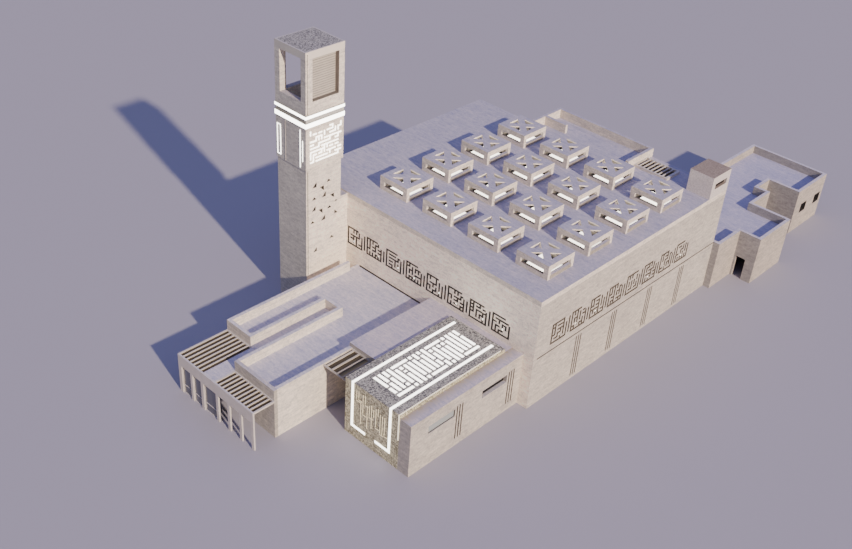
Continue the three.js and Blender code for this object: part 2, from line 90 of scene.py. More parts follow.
def add_camera():
    """The camera stands high in front of the building's right corner, tipped a little."""
    data = bpy.data.cameras.new("camera")
    data.sensor_fit = "HORIZONTAL"
    data.sensor_width = SENSOR_MM
    data.lens = LENS_MM
    data.clip_end = 500.0
    camera = bpy.data.objects.new("camera", data)
    bpy.context.scene.collection.objects.link(camera)
    heading, tilt, roll = (math.radians(angle) for angle in CAMERA_TURN)
    turn = Matrix.Rotation(heading, 4, "Z") @ Matrix.Rotation(tilt, 4, "X") @ Matrix.Rotation(roll, 4, "Z")
    camera.matrix_world = Matrix.Translation(at(*CAMERA_PLACE)) @ turn
    bpy.context.scene.camera = camera


# Light, with its turn and softness in degrees
SUN = {"turn": (60.5, 0.0, 77.6), "strength": 4.7, "color": (1.0, 0.83, 0.67), "softness": 1.5}
OVERHEAD = {"turn": (0.0, 0.0, 0.0), "strength": 0.95, "color": (0.03, 0.15, 1.0), "softness": 110.0}
SKY = {"color": (1.0, 0.92, 0.92), "strength": 0.26}


def add_sun(name, turn, strength, color, softness):
    data = bpy.data.lights.new(name, "SUN")
    data.energy = strength
    data.color = color
    data.angle = math.radians(softness)
    lamp = bpy.data.objects.new(name, data)
    lamp.rotation_euler = [math.radians(angle) for angle in turn]
    bpy.context.scene.collection.objects.link(lamp)


def add_sky(color, strength):
    world = bpy.data.worlds.new("studio")
    world.use_nodes = True
    background = world.node_tree.nodes["Background"]
    background.inputs["Color"].default_value = (*color, 1.0)
    background.inputs["Strength"].default_value = strength
    bpy.context.scene.world = world


# Shader maths
class Field:
    """A number that changes over a surface. Arithmetic on it adds Math nodes."""

    def __init__(self, finish, socket):
        self.finish = finish
        self.socket = socket

    def _math(self, operation, *terms):
        sockets = dict(enumerate(terms))
        return self.finish.field("ShaderNodeMath", {"operation": operation}, sockets)

    def __add__(self, other):
        return self._math("ADD", self, other)

    __radd__ = __add__

    def __sub__(self, other):
        return self._math("SUBTRACT", self, other)

    def __rsub__(self, other):
        return self._math("SUBTRACT", other, self)

    def __mul__(self, other):
        return self._math("MULTIPLY", self, other)

    __rmul__ = __mul__

    def __truediv__(self, other):
        return self._math("DIVIDE", self, other)

    def __gt__(self, other):
        return self._math("GREATER_THAN", self, other)

    def __lt__(self, other):
        return self._math("LESS_THAN", self, other)

    def __mod__(self, other):
        return self._math("FLOORED_MODULO", self, other)

    def __abs__(self):
        return self._math("ABSOLUTE", self)

    def __or__(self, other):
        return self._math("MAXIMUM", self, other)


class Finish:
    """A material under way. One method adds each of its nodes."""

    def __init__(self, name):
        self.material = bpy.data.materials.new(name)
        self.material.use_nodes = True
        self.tree = self.material.node_tree
        self.tree.nodes.clear()
        where = self.add("ShaderNodeTexCoord")
        place = self.add("ShaderNodeSeparateXYZ", {}, {0: where.outputs["Object"]})
        facing = self.add("ShaderNodeSeparateXYZ", {}, {0: where.outputs["Normal"]})
        self.place = where.outputs["Object"]
        self.x, self.y, self.z = (Field(self, place.outputs[axis]) for axis in "XYZ")
        self.level = abs(Field(self, facing.outputs["Z"])) > 0.5
        self.sideways = abs(Field(self, facing.outputs["X"])) > 0.5

    def add(self, kind, settings=None, sockets=None):
        """A node of one kind, with its settings and then its sockets' values or links."""
        node = self.tree.nodes.new(kind)
        for name, value in (settings or {}).items():
            setattr(node, name, value)
        for key, value in (sockets or {}).items():
            value = getattr(value, "socket", value)
            if isinstance(value, bpy.types.NodeSocket):
                self.tree.links.new(value, node.inputs[key])
            else:
                node.inputs[key].default_value = value
        return node

    def field(self, kind, settings, sockets):
        return Field(self, self.add(kind, settings, sockets).outputs[0])

    def vector(self, x, y, z):
        return self.add("ShaderNodeCombineXYZ", {}, {0: x, 1: y, 2: z}).outputs[0]

    def noise(self, vector, scale, detail=3.0, roughness=0.55):
        """Random clouding, about a half in the middle."""
        sockets = {"Vector": vector, "Scale": scale, "Detail": detail, "Roughness": roughness}
        return self.field("ShaderNodeTexNoise", {"noise_dimensions": "3D"}, sockets)

    def near_edge(self, node, width):
        """1 within some real metres of a CAD node's outer faces in plan, and 0 further in."""
        low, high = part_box(node)
        middle, reach = (low + high) / 2, (high - low) / 2
        side = abs(self.x - middle.x) > reach.x - width * SCALE
        end = abs(self.y - middle.y) > reach.y - width * SCALE
        return side | end

    def between(self, value, low, high):
        """1 where a value lies between two others."""
        return (value > low) * (value < high)

    def mix(self, factor, first, second):
        """A colour between two colours."""
        paint = [(*c, 1.0) if isinstance(c, tuple) else c for c in (first, second)]
        sockets = {0: factor, 6: paint[0], 7: paint[1]}
        return self.add("ShaderNodeMix", {"data_type": "RGBA"}, sockets).outputs[2]

    def courses(self, along, up, width, height, joint):
        """Blocks in running bond: a random tone for each block, and 1 in the joints."""
        settings = {"offset": 0.5, "squash": 1.0}
        sockets = {
            "Vector": self.vector(along, up, 0.0),
            "Color1": (0.0, 0.0, 0.0, 1.0),
            "Color2": (1.0, 1.0, 1.0, 1.0),
            "Mortar": (0.5, 0.5, 0.5, 1.0),
            "Scale": 1.0,
            "Mortar Size": joint,
            "Mortar Smooth": 0.3,
            "Brick Width": width,
            "Row Height": height,
        }
        node = self.add("ShaderNodeTexBrick", settings, sockets)
        return Field(self, node.outputs["Color"]), Field(self, node.outputs["Fac"])

    def close(self, color, roughness, height=None, distance=0.004, **surface):
        """The last nodes: the bump, the shader and the output."""
        sockets = {"Base Color": color, "Roughness": roughness}
        sockets.update({name.replace("_", " "): value for name, value in surface.items()})
        if height is not None:
            bump = self.add("ShaderNodeBump", {}, {"Strength": 0.6, "Distance": distance, "Height": height})
            sockets["Normal"] = bump.outputs[0]
        shader = self.add("ShaderNodeBsdfPrincipled", {}, sockets)
        self.add("ShaderNodeOutputMaterial", {}, {"Surface": shader.outputs[0]})
        return self.material


# Finishes
BODY_TONE = (0.65, 0.5875, 0.505)
# Level faces' tone, greyer and bluer than the walls': partly the roofs' own finish, partly painted sky light
LEVEL_TONE = (0.48, 0.46, 0.50)
# Painted shade: the colour laid where the stone lies in deep shade
PAINTED_SHADE_TONE = (0.10, 0.085, 0.065)
# Painted light: the warm glow laid on level faces beside the tan block
PAINTED_GLOW_TONE = (0.33, 0.275, 0.18)
CAST_TONE = (0.66, 0.60, 0.53)
# Painted shade: the tone of the dark sheets laid below the pergolas' slats
SHADE_SHEET_TONE = (0.06, 0.045, 0.022)
LIT_WHITE = (1.0, 0.97, 0.90)
BLACK = (0.0, 0.0, 0.0)

# How far the stone's clouding goes down and up from its tone, on walls and on level faces
WALL_GRADES = ((0.66, 0.67, 0.70), (1.34, 1.33, 1.30))
LEVEL_GRADES = ((0.66, 0.71, 0.85), (1.36, 1.28, 1.15))

# Each part's stone against the common tones: its faces that look forward, those that look sideways,
# and its level ones. These gains are painted light and shade: each facing is drawn lighter or darker
# as the light falls on it
FACING_LIGHT_TONES = {
    "hall": ((1.50, 1.50, 1.48), (0.92, 0.93, 0.95), (1.1, 1.1, 1.15)),
    "roof": (1.06, (1.40, 1.38, 1.38), (0.86, 0.88, 1.02)),
    "minaret": ((0.81, 0.88, 0.94), 1.46, 0.9),
    "wing": ((1.02, 1.02, 1.04), 1.31, (1.25, 1.27, 1.30)),
    "wing_roof": ((1.02, 1.02, 1.04), 1.25, (1.07, 1.10, 1.20)),
    "porch": ((0.80, 0.82, 0.85), 0.75, 1.0),
    "annex": ((0.58, 0.61, 0.68), (0.78, 0.76, 0.76), (1.18, 1.20, 1.30)),
    "annex_roof": (0.62, 0.80, (0.90, 0.93, 1.16)),
    "pale": ((0.68, 0.70, 0.76), (0.90, 0.91, 0.93), 1.0),
    "pale_roof": ((0.68, 0.70, 0.76), 0.90, (1.05, 1.02, 1.08)),
}

# The stone's blocks on walls and on level faces, in metres of the model
WALL_BLOCKS = {"width": 0.6, "height": 0.16, "joint": 0.004}
LEVEL_BLOCKS = {"width": 1.1, "height": 0.14, "joint": 0.004}

# How strongly the painted deep shade covers the stone
DEEP_SHADE = 0.92

# The skylight boxes on the hall's roof, and the margins and strengths of the painted shade in them
SKYLIGHT = {
    "x": -22.59,
    "y": 2.86,
    "pitch_x": 5.74,
    "pitch_y": 5.79,
    "rows": 4,
    "size": 3.62,
    "wall": 0.3,
    "sill": 0.42,
    "lid_foot": 1.35,
}
SKYLIGHT_SHADE = {"edge": 0.02, "foot": 0.01, "walls": 0.82, "panels": 0.68}

# The upright grooves, and how deep in the wall their painted shade reaches
GROOVES = {"count": 3, "pitch": 0.33, "width": 0.15, "reach": 0.2}

# The middles of their groups and their feet and tops, with the height of the hall's level groove
HALL_GROOVES = ((6.65, 12.2, 18.1, 23.75), (0.35, 5.05), 5.44)
PALE_GROOVES = ((-8.01, -1.35), (0.8, 4.53))

# The space that the minaret's niches lie in, where their shade is painted
NICHES = {"low": (-24.48, -5.1, 4.2), "high": (-24.14, -1.0, 15.6)}

# The minaret's lit band: the groove between its rims, its top, and the tones of the stone there, painted
# darker on faces that look forward and lighter on those that look sideways
BAND_GROOVE = (20.60, 21.04)
BAND_TOP = 21.33
RIM_DEPTH = 0.2
BAND_LIGHT_AND_SHADE_TONES = ((0.34, 0.34, 0.285), (0.66, 0.65, 0.61))

# Where the portico's slats lie in painted shade: to the left of this place and below it
SLAT_SHADE_END = (-12.1, 0.0, 4.05)

# The side entrance's painted shade at its darkest, and where a painted reflected glow fades in across
# the shade sheet below its slats
SIDE_SHADE = 0.8
PANE_GLOW_FADE = {"slope": 6.0, "start": 3.2}

# The painted warm glow beside the tan block, and the pale border of the minaret's gravel
WARM_REACH = 0.95
WARM_PLAY = 0.01
GRAVEL_BORDER = 0.14


def toned(color, gain):
    """A colour made lighter or darker, by one number or one for each of red, green and blue."""
    gains = gain if isinstance(gain, tuple) else (gain,) * 3
    return tuple(c * g for c, g in zip(color, gains))


def grades(color, gains):
    """A darker and a lighter colour around one."""
    return [toned(color, gain) for gain in gains]


def shades(color, spread):
    """A darker and a lighter colour, as far below one as above it."""
    return grades(color, (1.0 - spread, 1.0 + spread))


def coursed_stone(name, part, dark=None, warm=None):
    """Pale limestone in fine courses on the walls, laid in long boards on level faces. Dark and warm
    say where painted shade darkens it and where a painted warm glow falls on its level faces. The last
    number in its shade, as in those of the other stones, brings the sum's middle to about a half."""
    front, side, level = FACING_LIGHT_TONES[part]
    stone = Finish(name)
    run = stone.x + stone.y
    wall_tone, wall_joint = stone.courses(run, stone.z, **WALL_BLOCKS)
    level_block, level_joint = stone.courses(stone.x, stone.y, **LEVEL_BLOCKS)
    tone = wall_tone + (level_block - wall_tone) * stone.level
    joint = wall_joint + (level_joint - wall_joint) * stone.level
    across = stone.z + (stone.y - stone.z) * stone.level
    along = run + (stone.x - run) * stone.level
    streaks = stone.noise(stone.vector(along * 1.2, across * 4.5, 0.0), 1.8, 4.0, 0.65)
    mottle = stone.noise(stone.vector(along * 1.3, across * 2.2, 3.0), 3.6, 4.0, 0.62)
    clouds = stone.noise(stone.place, 0.8, 3.0)
    flecks = stone.noise(stone.place, 13.0, 3.0, 0.65)
    shade = streaks * 1.2 + mottle + clouds * 0.5 + flecks * 1.2 + tone * 0.22 - 1.56
    # Painted light and shade: each facing takes its own gain from the facing tones
    forward = stone.mix(shade, *grades(toned(BODY_TONE, front), WALL_GRADES))
    sideways = stone.mix(shade, *grades(toned(BODY_TONE, side), WALL_GRADES))
    top = stone.mix(shade, *grades(toned(LEVEL_TONE, level), LEVEL_GRADES))
    # Painted warm glow on the level faces where warm says
    if warm is not None:
        top = stone.mix(warm(stone) * (0.3 + shade), top, PAINTED_GLOW_TONE)
    body = stone.mix(stone.sideways, forward, sideways)
    color = stone.mix(stone.level, body, top)
    color = stone.mix(joint * 0.25, color, toned(BODY_TONE, 0.55))
    # Painted shade where dark says the stone lies in deep shade
    if dark is not None:
        color = stone.mix(dark(stone) * DEEP_SHADE, color, PAINTED_SHADE_TONE)
    height = streaks * 0.3 + flecks * 0.4 - joint * 0.6
    return stone.close(color, 0.76 + flecks * 0.14, height)


def painted_skylight_shade(stone):
    """Painted shade within the walls of the skylight boxes, on the sills of their front and back slots,
    and on the panels below the slots that look sideways."""
    size, wall, sill = SKYLIGHT["size"], SKYLIGHT["wall"], SKYLIGHT["sill"]
    edge, foot = SKYLIGHT_SHADE["edge"], SKYLIGHT_SHADE["foot"]
    first = at(SKYLIGHT["x"], SKYLIGHT["y"], 0.0)
    across = (stone.x - first.x) % (SKYLIGHT["pitch_x"] * SCALE)
    along = (stone.y - first.y) % (SKYLIGHT["pitch_y"] * SCALE)
    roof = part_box("rear_roof")[1].z

    def inside(way, margin):
        """1 between two of a box's faces, drawn in by a margin."""
        return stone.between(way, margin * SCALE, (size - margin) * SCALE)

    def height(low, high):
        return stone.between(stone.z, roof + low * SCALE, roof + high * SCALE)

    walls = inside(across, wall - edge) * inside(along, wall - edge)
    walls = walls * height(foot, SKYLIGHT["lid_foot"] - foot)
    sills = inside(across, wall) * inside(along, edge) * height(sill - edge, sill + edge) * stone.level
    panels = inside(along, wall) * height(foot, sill) * (across < (size + edge) * SCALE) * stone.sideways
    return walls * SKYLIGHT_SHADE["walls"] | sills | panels * SKYLIGHT_SHADE["panels"]


def painted_niche_shade(stone):
    """Painted shade: 1 on the floors and sides of the niches and the corner groove in the minaret's right
    face.
    """
    low, high = at(*NICHES["low"]), at(*NICHES["high"])
    depth = stone.between(stone.x, low.x, high.x) * stone.between(stone.y, low.y, high.y)
    return depth * stone.between(stone.z, low.z, high.z)


def painted_groove_shade(wall, centres, z, level_line=None):
    """A test for the painted shade of upright grooves, in groups around some real Y, in a wall that
    looks along X. A level groove may run above them. The lines are a little wider than the grooves."""
    pitch, half = GROOVES["pitch"] * SCALE, GROOVES["width"] * SCALE / 2
    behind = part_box(wall)[1].x - GROOVES["reach"] * SCALE

    def test(stone):
        lines = 0.0
        for centre in centres:
            off = stone.y - at(0.0, centre, 0.0).y
            line = abs((off + pitch / 2) % pitch - pitch / 2) < half
            lines = lines + line * (abs(off) < GROOVES["count"] / 2 * pitch)
        lines = lines * stone.between(stone.z, z[0] * SCALE, z[1] * SCALE)
        if level_line is not None:
            middle = level_line * SCALE
            lines = lines | stone.between(stone.z, middle - half, middle + half)
        return lines * (stone.x > behind)

    return test


def painted_slat_shade(stone):
    """Painted shade on the lower part of the portico's slats, between their pale top edges."""
    end = at(*SLAT_SHADE_END)
    return stone.sideways * (stone.z < end.z) * (stone.x < end.x)


def painted_shade_toward_tan(stone):
    """A painted shade that deepens across the side entrance's pergola, towards the tan block."""
    low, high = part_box("side_entrance_pergola")
    return (stone.x - low.x) / (high.x - low.x) * SIDE_SHADE


def painted_glow_beside_tan(stone):
    """A painted warm glow that fades to the right of the tan block."""
    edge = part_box("tan_wall")[1].x
    fade = 1.0 - (stone.x - edge) / (WARM_REACH * SCALE)
    return (fade | 0.0) * (stone.x > edge - WARM_PLAY)


def speckled_stone(name, light, dark, level_light, level_dark):
    """Stone with a coarse salt and pepper grain."""
    stone = Finish(name)
    flecks = stone.noise(stone.place, 13.0, 2.0, 0.7)
    specks = stone.noise(stone.place, 30.0, 2.0, 0.8)
    clouds = stone.noise(stone.place, 1.2, 3.0)
    shade = flecks * 4.0 + specks * 2.6 + clouds * 0.5 - 3.05
    wall = stone.mix(shade, dark, light)
    top = stone.mix(shade, level_dark, level_light)
    color = stone.mix(stone.level, wall, top)
    return stone.close(color, 0.7 + specks * 0.2, specks + flecks, 0.006)


def gravelled_roof(name, node, part, light, dark):
    """A stone roof block whose top is gravel within a narrow pale border."""
    front, side, _ = FACING_LIGHT_TONES[part]
    stone = Finish(name)
    flecks = stone.noise(stone.place, 16.0, 3.0, 0.8)
    clouds = stone.noise(stone.place, 1.2, 3.0)
    gravel = stone.mix(flecks * 5.0 - 2.0, dark, light)
    border = stone.near_edge(node, GRAVEL_BORDER)
    # Painted light and shade: the sides take the minaret's facing gains, darker forward and lighter sideways
    forward = stone.mix(clouds, *shades(toned(BODY_TONE, front), 0.15))
    sideways = stone.mix(clouds, *shades(toned(BODY_TONE, side), 0.1))
    top = stone.mix(border, gravel, LEVEL_TONE)
    color = stone.mix(stone.level, stone.mix(stone.sideways, forward, sideways), top)
    return stone.close(color, 0.8 + flecks * 0.1, flecks, 0.004)


def smooth_stone(name, tone, level, dark=None):
    """Cast stone of slats, piers and beams. Dark says where painted shade darkens it."""
    stone = Finish(name)
    clouds = stone.noise(stone.place, 2.2, 4.0)
    grain = stone.noise(stone.place, 55.0, 2.0)
    shade = clouds * 1.2 + grain * 0.6 - 0.4
    body = stone.mix(shade, *shades(tone, 0.14))
    top = stone.mix(shade, *shades(level, 0.12))
    color = stone.mix(stone.level, body, top)
    # Painted shade where dark says the stone lies in deep shade
    if dark is not None:
        color = stone.mix(dark(stone), color, PAINTED_SHADE_TONE)
    return stone.close(color, 0.7 + grain * 0.15, grain, 0.002)


def lit_stone(name, color, strength):
    """Bars and panes lit from within, a little uneven along their length."""
    lit = Finish(name)
    wave = lit.noise(lit.place, 1.5, 2.0)
    glow = lit.mix(wave, toned(color, 0.9), color)
    surface = {"Emission_Color": glow, "Emission_Strength": strength}
    return lit.close(glow, 0.5 + wave * 0.1, **surface)


def lit_rims(name, node, groove, top, color, strength):
    """Stone whose outer faces are lit below a top, above and below a plain groove. Painted shade and light
    make its faces that look forward darker and those that look sideways lighter.
    """
    stone = Finish(name)
    clouds = stone.noise(stone.place, 2.2, 4.0)
    grain = stone.noise(stone.place, 55.0, 2.0)
    shade = clouds * 0.7 + grain * 0.3
    forward, sideways = (stone.mix(shade, *shades(tone, 0.1)) for tone in BAND_LIGHT_AND_SHADE_TONES)
    body = stone.mix(stone.sideways, forward, sideways)
    low, high = (z * SCALE for z in groove)
    rims = ((stone.z < low) | (stone.z > high)) * (stone.z < top * SCALE)
    outer = stone.near_edge(node, RIM_DEPTH) * (1.0 - stone.level)
    glow = stone.mix(rims * outer, BLACK, color)
    return stone.close(body, 0.7 + grain * 0.15, Emission_Color=glow, Emission_Strength=strength)


def pane_glass(name, tint, cloud, roughness=0.06, coat=0.6):
    """Tinted panes, a little cloudy."""
    glass = Finish(name)
    clouds = glass.noise(glass.place, 0.8, 2.0)
    color = glass.mix(clouds, tint, cloud)
    return glass.close(color, roughness + clouds * 0.08, Coat_Weight=coat)


def shade_sheet_with_glow(name, node, lit, shaded):
    """Frosted sheets of painted shade whose right half, in shadow, is paler: a painted reflected glow."""
    low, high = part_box(node)
    glass = Finish(name)
    clouds = glass.noise(glass.place, 0.8, 2.0)
    across = (glass.x - low.x) / (high.x - low.x)
    shadow = across * PANE_GLOW_FADE["slope"] - PANE_GLOW_FADE["start"]
    return glass.close(glass.mix(shadow, lit, shaded), 0.6 + clouds * 0.08)


def frame_metal(name, color):
    """Painted metal, a little worn."""
    metal = Finish(name)
    wear = metal.noise(metal.place, 18.0, 3.0)
    tone = metal.mix(wear, toned(color, 0.8), color)
    return metal.close(tone, 0.35 + wear * 0.15, wear, 0.001, Metallic=0.6)


FINISHES = {
    "hall": coursed_stone("hall_stone", "hall"),
    "hall_side": coursed_stone("hall_side_stone", "hall", dark=painted_groove_shade("hall_right_wall", *HALL_GROOVES)),
    "roof": coursed_stone("hall_roof_stone", "roof", dark=painted_skylight_shade),
    "terrace": coursed_stone("terrace_stone", "roof"),
    "minaret": coursed_stone("minaret_stone_and_niche_shade", "minaret", dark=painted_niche_shade),
    "wing": coursed_stone("wing_stone", "wing"),
    "wing_roof": coursed_stone("wing_roof_stone", "wing_roof"),
    "porch": coursed_stone("porch_stone", "porch"),
    "annex": coursed_stone("annex_stone", "annex"),
    "annex_roof": coursed_stone("annex_roof_stone", "annex_roof"),
    "pale": coursed_stone("pale_block_stone_and_groove_shade", "pale", dark=painted_groove_shade("pale_wall", *PALE_GROOVES)),
    "pale_roof": coursed_stone("pale_roof_stone_and_glow", "pale_roof", warm=painted_glow_beside_tan),
    "stair": speckled_stone("stair_box_stone", (0.84, 0.77, 0.73), (0.66, 0.60, 0.56),
                            (0.35, 0.29, 0.25), (0.24, 0.19, 0.165)),
    # Painted shade: the dark floors of the bands' grooves, and the strip where the wing's roof meets the
    # hall
    "groove": smooth_stone("groove_painted_shade", (0.045, 0.038, 0.030), (0.04, 0.03, 0.025)),
    "fine_groove": smooth_stone("fine_groove_painted_shade", (0.145, 0.125, 0.10), (0.10, 0.08, 0.065)),
    "tan": speckled_stone("tan_speckled_stone", (0.88, 0.83, 0.58), (0.23, 0.21, 0.13),
                          (0.54, 0.53, 0.48), (0.06, 0.06, 0.07)),
    "gravel": gravelled_roof("roof_gravel", "minaret_roof", "minaret",
                             (0.50, 0.49, 0.50), (0.08, 0.08, 0.09)),
    "slat": smooth_stone("cast_stone", CAST_TONE, (0.56, 0.54, 0.55)),
    "side_slat": smooth_stone("side_cast_stone_and_shade", CAST_TONE, (0.62, 0.57, 0.50), painted_shade_toward_tan),
    "portico_slat": smooth_stone("portico_cast_stone_and_shade", CAST_TONE, (0.60, 0.57, 0.55), painted_slat_shade),
    "pier": smooth_stone("pier_stone", (0.65, 0.60, 0.56), (0.56, 0.54, 0.58)),
    "louvre": smooth_stone("louvre_stone", (0.58, 0.525, 0.455), (0.42, 0.39, 0.36)),
    # Painted shade: the dark lining on the louvre's back, jamb and sill
    "lining": smooth_stone("painted_shade_lining", (0.22, 0.19, 0.16), (0.18, 0.16, 0.135)),
    "rims": lit_rims("lit_rims", "minaret_band", BAND_GROOVE, BAND_TOP, LIT_WHITE, 8.0),
    "lit": lit_stone("lit_white", LIT_WHITE, 5.0),
    "warm": lit_stone("lit_warm", (1.0, 0.93, 0.80), 4.5),
    "edge": lit_stone("lit_edge", (1.0, 0.90, 0.68), 1.1),
    "gold": lit_stone("lit_gold", (0.95, 0.84, 0.58), 0.6),
    "glass": pane_glass("tinted_glass", (0.012, 0.014, 0.018), (0.02, 0.024, 0.032)),
    "dark_glass": pane_glass("dark_glass", (0.006, 0.007, 0.009), (0.012, 0.014, 0.02)),
    "bay_glass": pane_glass("bay_glass", (0.07, 0.08, 0.105), (0.11, 0.12, 0.155)),
    # Painted shade: dark frosted sheets below the pergolas' slats
    "painted_shade_sheet": pane_glass("painted_shade_sheet", SHADE_SHEET_TONE, (0.09, 0.07, 0.04), 0.6, 0.0),
    # Painted light: the right half of the side entrance's sheet takes a paler, warm reflected glow
    "side_shade_sheet": shade_sheet_with_glow("side_shade_sheet_and_glow", "side_entrance_pergola",
                                  SHADE_SHEET_TONE, (0.34, 0.27, 0.12)),
    "pale_glass": pane_glass("pale_glass", (0.38, 0.42, 0.42), (0.48, 0.52, 0.50)),
    "metal": frame_metal("bronze_frames", (0.12, 0.11, 0.10)),
    "flashing": frame_metal("black_flashing", (0.05, 0.05, 0.052)),
}

# The finish of each CAD node, by how its name starts. Of the starts that fit, the longest counts.
NODE_FINISH = {
    "hall_roof": "roof",
    "hall_right_wall": "hall_side",
    "hall": "hall",
    "rear": "terrace",
    "rear_pergola": "slat",
    "stair_box": "stair",
    "minaret": "minaret",
    "minaret_band": "rims",
    "minaret_roof": "gravel",
    "wing": "wing",
    "wing_roof": "wing_roof",
    "channel_parapet": "wing",
    "porch_wall": "porch",
    "portico_frame": "pier",
    "portico_slab": "wing_roof",
    "portico_left_pergola": "portico_slat",
    "portico_right_pergola": "portico_slat",
    "portico_glass": "bay_glass",
    "pale_wall": "pale",
    "pale_roof": "pale_roof",
    "pale_wall_glass": "dark_glass",
    "side_entrance_pergola": "side_slat",
    "side_entrance_wall": "pale",
    "tan": "tan",
    "annex": "annex",
    "annex_roof": "annex_roof",
    "annex_left_glass": "glass",
    "annex_end_glass": "glass",
}


def dress_nodes():
    """Every CAD node gets its finish."""
    for name, node in nodes.items():
        start = max((start for start in NODE_FINISH if name.startswith(start)), key=len)
        node.data.materials.clear()
        node.data.materials.append(FINISHES[NODE_FINISH[start]])


# Modelling helpers, with the gap between pieces that meet and the width of eased edges
CLEARANCE = 0.004
BEVEL = 0.01
FINE_BEVEL = 0.005

# How far an engraved plate reaches back, against the depth of its grooves
PLATE = 1.1

# What starts the random draws of each piece
SEEDS = {"front_band": 3, "right_band": 8, "left_band": 5, "labyrinth": 12, "roof_bars": 21, "gold_bars": 4}


def deselect():
    bpy.ops.object.select_all(action="DESELECT")


def take(piece):
    deselect()
    piece.select_set(True)
    bpy.context.view_layer.objects.active = piece


def apply_modifier(piece, kind, **settings):
    take(piece)
    modifier = piece.modifiers.new(kind.lower(), kind)
    for name, value in settings.items():
        setattr(modifier, name, value)
    bpy.ops.object.modifier_apply(modifier=modifier.name)


def repeat(piece, count, step):
    """Copies of a piece in a row, one step of real metres apart."""
    settings = {"use_relative_offset": False, "use_constant_offset": True}
    apply_modifier(piece, "ARRAY", count=count, constant_offset_displace=Vector(step) * SCALE, **settings)


def finish_piece(piece, name, finishes):
    """Names a piece, bakes its place into its mesh and hangs it on the building."""
    take(piece)
    bpy.ops.object.transform_apply(location=True, rotation=True, scale=True)
    piece.name = name
    piece.data.name = name
    for finish in finishes.split():
        piece.data.materials.append(FINISHES[finish])
    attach(piece, BODY)


def block(low, high, bevel=BEVEL):
    """A bar between two corners of the real building, with eased edges."""
    deselect()
    first, last = at(*low), at(*high)
    size = last - first
    bpy.ops.mesh.primitive_cube_add(size=1.0, location=(first + last) / 2, scale=size)
    piece = bpy.context.active_object
    bpy.ops.object.transform_apply(location=False, rotation=False, scale=True)
    apply_modifier(piece, "BEVEL", width=bevel * SCALE, segments=1)
    return piece


def join(pieces):
    take(pieces[0])
    for piece in pieces:
        piece.select_set(True)
    bpy.ops.object.join()
    return bpy.context.active_object


def stand(piece, corner, along, up):
    """Turns a sheet drawn in X and Y so that its X runs along one way and its Y up another."""
    along, up = Vector(along), Vector(up)
    turn = Matrix((along, up, along.cross(up))).transposed().to_4x4()
    piece.matrix_world = Matrix.Translation(at(*corner)) @ turn
    take(piece)
    bpy.ops.object.transform_apply(location=True, rotation=True, scale=True)
    return piece


def sheet(width, height, columns=1, rows=1):
    """A flat sheet of cells with its first corner at the origin, in metres of the real building."""
    deselect()
    bpy.ops.mesh.primitive_grid_add(x_subdivisions=columns, y_subdivisions=rows, size=1.0)
    piece = bpy.context.active_object
    piece.data.transform(Matrix.Translation((0.5, 0.5, 0.0)))
    piece.data.transform(Matrix.Diagonal((width * SCALE, height * SCALE, 1.0, 1.0)))
    return piece


def ring(width, height, border, thickness):
    """A flat frame with its first corner at the origin, in metres of the real building."""
    piece = sheet(width, height)
    bpy.ops.object.mode_set(mode="EDIT")
    bpy.ops.mesh.select_mode(type="FACE")
    bpy.ops.mesh.select_all(action="SELECT")
    bpy.ops.mesh.inset(thickness=border * SCALE)
    bpy.ops.mesh.delete(type="FACE")
    bpy.ops.object.mode_set(mode="OBJECT")
    apply_modifier(piece, "SOLIDIFY", thickness=thickness * SCALE, offset=1.0)
    return piece


